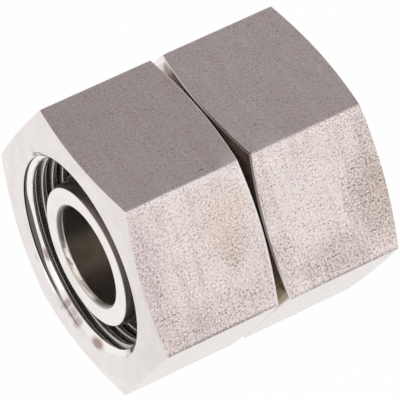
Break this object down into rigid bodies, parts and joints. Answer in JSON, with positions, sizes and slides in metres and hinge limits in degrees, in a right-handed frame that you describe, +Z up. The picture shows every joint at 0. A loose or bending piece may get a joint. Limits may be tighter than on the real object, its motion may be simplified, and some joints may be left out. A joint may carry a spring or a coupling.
{
  "type": "swivel fitting",
  "caption": "Straight swivel union: two hexagon union nuts turn freely on one body with a 24 degree sealing cone at each end.",
  "frame": {"origin": "on the axis of the union nuts, halfway between their outer faces", "axes": "+X along the nuts' axis, +Z up out of the top flats, +Y across corners"},
  "size_m": [0.0474, 0.0532, 0.046],
  "materials": {
    "nut_steel": "stainless steel, milled flats and turned ends",
    "body_steel": "turned stainless steel",
    "o_ring_rubber": "smooth dark green rubber",
    "wire_steel": "drawn stainless wire"
  },
  "bodies": {
    "coupling": {"coupling_body": "body_steel", "o_ring_left": "o_ring_rubber", "o_ring_right": "o_ring_rubber", "wire_ring_left": "wire_steel", "wire_ring_right": "wire_steel"},
    "nut_left": {"union_nut_left": "nut_steel"},
    "nut_right": {"union_nut_right": "nut_steel"}
  },
  "joints": [
    {"name": "nut_left_turn", "type": "hinge", "parent": "coupling", "child": "nut_left", "pos_m": [-0.0119, 0, 0], "axis": [1, 0, 0], "continuous": true},
    {"name": "nut_right_turn", "type": "hinge", "parent": "coupling", "child": "nut_right", "pos_m": [0.0119, 0, 0], "axis": [1, 0, 0], "continuous": true}
  ]
}
